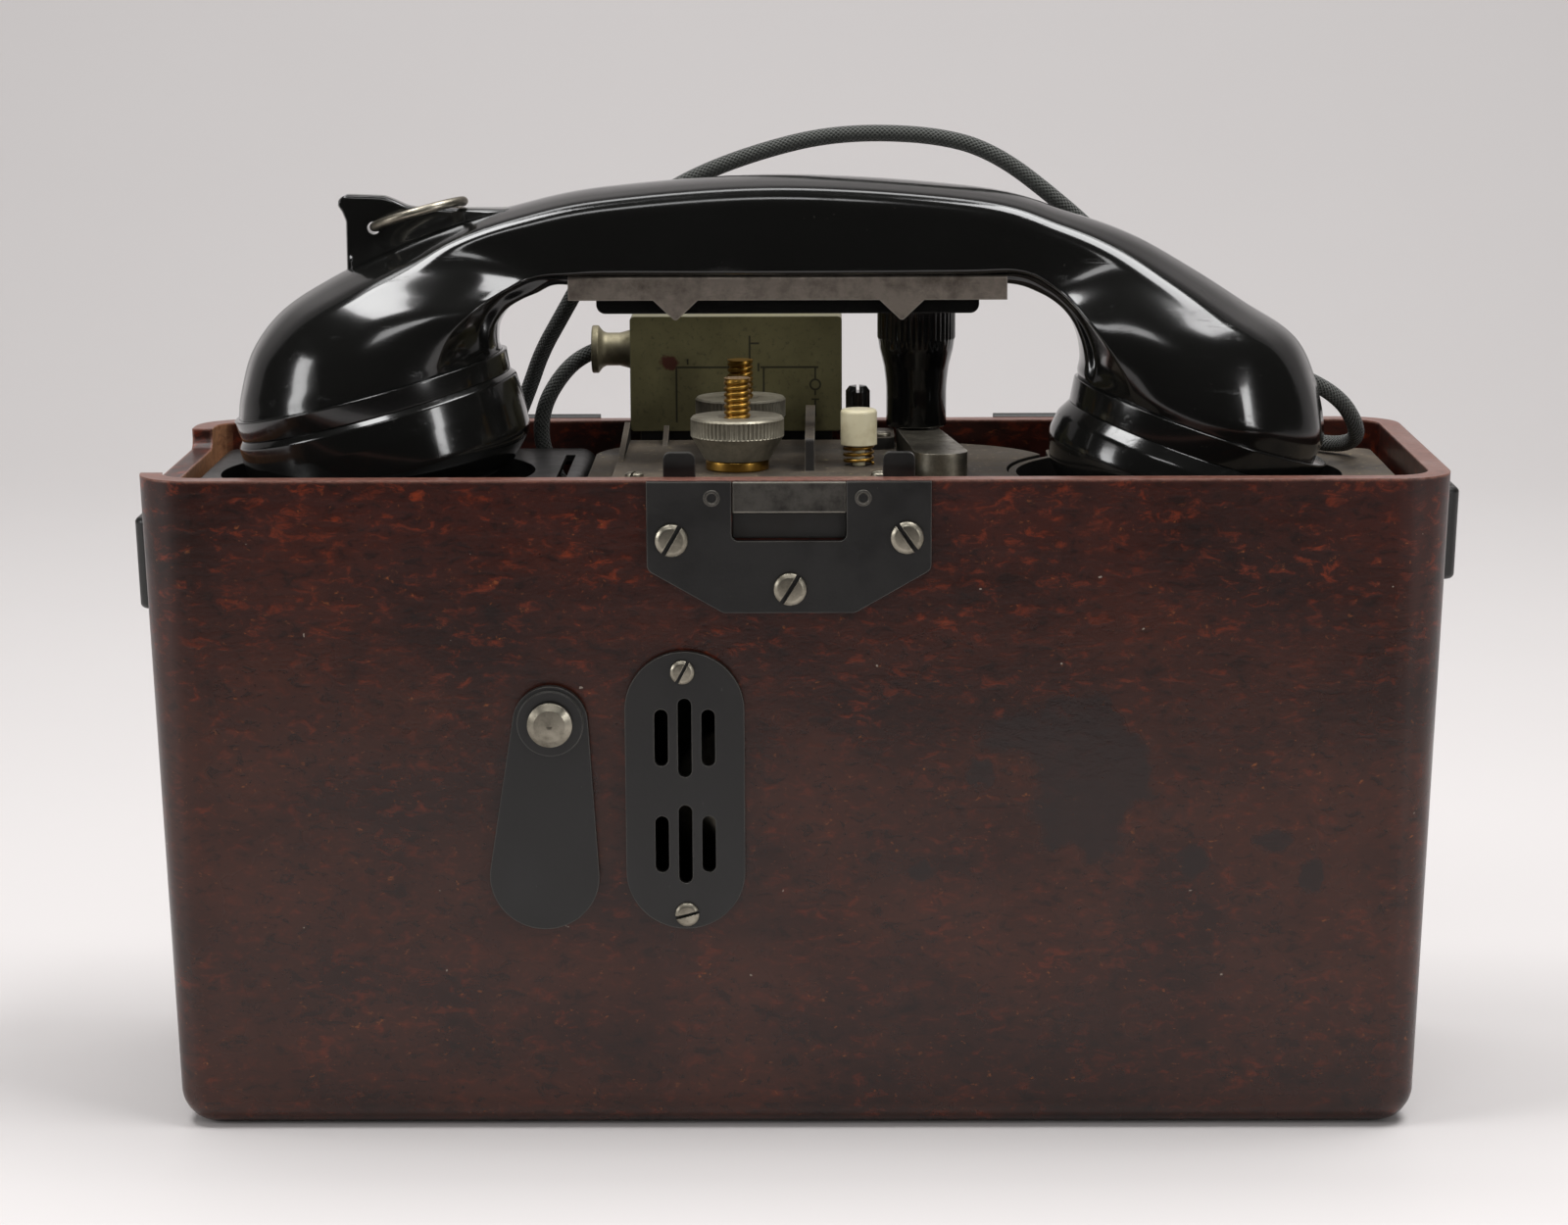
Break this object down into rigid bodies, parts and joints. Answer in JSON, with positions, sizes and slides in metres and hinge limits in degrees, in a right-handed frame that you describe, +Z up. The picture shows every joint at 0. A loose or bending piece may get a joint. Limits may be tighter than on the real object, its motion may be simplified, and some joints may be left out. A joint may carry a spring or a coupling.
{
  "type": "field telephone",
  "caption": "Open moulded case holding a lift-off handset on a cord, line terminals, stowed hand crank, generator, bell and battery cells.",
  "frame": {"origin": "middle of the underside of the case", "axes": "+X to the right along the long front wall seen from the front, +Y from the front wall to the back wall, +Z up"},
  "size_m": [0.2908, 0.1064, 0.2133],
  "materials": {
    "bakelite_case": "dark red-brown mottled phenolic moulding, semi-gloss, worn",
    "black_steel": "black satin enamel on sheet steel",
    "nickel": "worn nickel plating",
    "deck_moulding": "dusty matte black phenolic",
    "brass": "tarnished brass",
    "grey_plated": "dull grey plated metal",
    "ivory_plastic": "aged ivory plastic",
    "olive_paint": "olive enamel",
    "braided_cotton": "black braided cotton",
    "handset_bakelite": "glossy black phenolic",
    "chassis_zinc": "zinc-plated sheet steel",
    "cast_frame": "grey cast iron",
    "magnet_steel": "black lacquered magnet steel",
    "bare_steel": "bright machined steel",
    "coil_winding": "lacquered copper winding in cotton",
    "cell_jacket": "waxed card jacket"
  },
  "bodies": {
    "case": {"case_shell": "bakelite_case", "catch_plate": "black_steel", "catch_keeper": "black_steel", "grille_plate": "black_steel", "cover_rivet": "nickel", "strap_bracket_left": "black_steel", "strap_bracket_right": "black_steel", "hinge_leaf_left": "black_steel", "hinge_leaf_right": "black_steel", "deck_panel": "deck_moulding", "battery_lid": "black_steel", "transmitter_cup": "deck_moulding", "terminal_block": "deck_moulding", "line_post_front": "brass", "line_post_rear": "brass", "test_button_spring": "brass", "fuse_block": "deck_moulding", "fuse_cap": "handset_bakelite", "plug_box": "olive_paint", "plug_block": "deck_moulding", "cord_gland": "brass", "handset_cord": "braided_cotton", "chassis_frame": "chassis_zinc", "generator_frame": "cast_frame", "magnet_front": "magnet_steel", "magnet_middle": "magnet_steel", "magnet_rear": "magnet_steel", "bell_frame": "chassis_zinc", "bell_coils": "coil_winding", "gong_left": "nickel", "gong_right": "nickel", "battery_holder": "deck_moulding", "battery_cell_front": "cell_jacket", "battery_cell_rear": "cell_jacket", "battery_strap": "brass", "induction_coil": "coil_winding", "condenser": "chassis_zinc"},
    "handset": {"handset_body": "handset_bakelite", "receiver_collar": "handset_bakelite", "receiver_cap": "handset_bakelite", "transmitter_collar": "handset_bakelite", "transmitter_cap": "handset_bakelite"},
    "talk_bar": {"talk_bar": "grey_plated", "talk_channel": "handset_bakelite"},
    "hanging_ring": {"hanging_ring": "nickel"},
    "crank_cover": {"crank_hole_cover": "black_steel"},
    "crank": {"crank_arm": "nickel", "crank_pin": "nickel"},
    "crank_grip": {"crank_grip": "handset_bakelite"},
    "front_clamp": {"line_clamp_front": "brass"},
    "front_nut": {"line_nut_front": "grey_plated"},
    "rear_clamp": {"line_clamp_rear": "brass"},
    "rear_nut": {"line_nut_rear": "grey_plated"},
    "test_button": {"test_button": "ivory_plastic"},
    "generator_drive": {"drive_shaft": "bare_steel", "drive_wheel": "brass"},
    "armature": {"armature": "bare_steel", "armature_pinion": "bare_steel"},
    "bell_clapper": {"bell_clapper": "bare_steel"}
  },
  "joints": [
    {"name": "handset_lift", "type": "slide", "parent": "case", "child": "handset", "axis": [0, 0, 1], "range_m": [0, 0.12], "deforming": ["handset_cord"]},
    {"name": "talk_bar_press", "type": "slide", "parent": "handset", "child": "talk_bar", "axis": [0, 0, 1], "range_m": [0, 0.003], "stiffness_N_per_m": 500, "springref_m": -0.002},
    {"name": "hanging_ring_swing", "type": "hinge", "parent": "handset", "child": "hanging_ring", "pos_m": [-0.0923, 0, 0.1922], "axis": [0, -1, 0], "range_deg": [0, 165]},
    {"name": "crank_cover_swing", "type": "hinge", "parent": "case", "child": "crank_cover", "pos_m": [-0.0518, -0.04813, 0.0912], "axis": [0, 0.9994, 0.0359], "range_deg": [0, 110]},
    {"name": "crank_lift", "type": "slide", "parent": "case", "child": "crank", "axis": [0, 0, 1], "range_m": [0, 0.022]},
    {"name": "crank_grip_spin", "type": "hinge", "parent": "crank", "child": "crank_grip", "pos_m": [0.0275, 0.0306, 0.16], "axis": [0, 0, 1], "continuous": true},
    {"name": "front_clamp_rise", "type": "slide", "parent": "case", "child": "front_clamp", "axis": [0, 0, 1], "range_m": [0, 0.004]},
    {"name": "front_nut_turn", "type": "hinge", "parent": "front_clamp", "child": "front_nut", "pos_m": [-0.0125, -0.015, 0.146], "axis": [0, 0, 1], "range_deg": [0, 1440]},
    {"name": "rear_clamp_rise", "type": "slide", "parent": "case", "child": "rear_clamp", "axis": [0, 0, 1], "range_m": [0, 0.004]},
    {"name": "rear_nut_turn", "type": "hinge", "parent": "rear_clamp", "child": "rear_nut", "pos_m": [-0.0125, 0.019, 0.146], "axis": [0, 0, 1], "range_deg": [0, 1440]},
    {"name": "test_button_press", "type": "slide", "parent": "case", "child": "test_button", "axis": [0, 0, -1], "range_m": [0, 0.002], "stiffness_N_per_m": 300, "springref_m": -0.002, "deforming": ["test_button_spring"]},
    {"name": "generator_drive_spin", "type": "hinge", "parent": "case", "child": "generator_drive", "pos_m": [-0.0535, 0, 0.0575], "axis": [0, 1, 0], "continuous": true},
    {"name": "armature_spin", "type": "hinge", "parent": "case", "child": "armature", "pos_m": [-0.0535, 0, 0.0825], "axis": [0, 1, 0], "continuous": true},
    {"name": "bell_clapper_swing", "type": "hinge", "parent": "case", "child": "bell_clapper", "pos_m": [0.0125, 0, 0.108], "axis": [0, 1, 0], "range_deg": [-2, 2]}
  ],
  "couplings": [
    {"joint": "front_nut_turn", "follows": "front_clamp_rise", "rad_per_m": 6283.2},
    {"joint": "rear_nut_turn", "follows": "rear_clamp_rise", "rad_per_m": 6283.2},
    {"joint": "armature_spin", "follows": "generator_drive_spin", "ratio": -4}
  ]
}
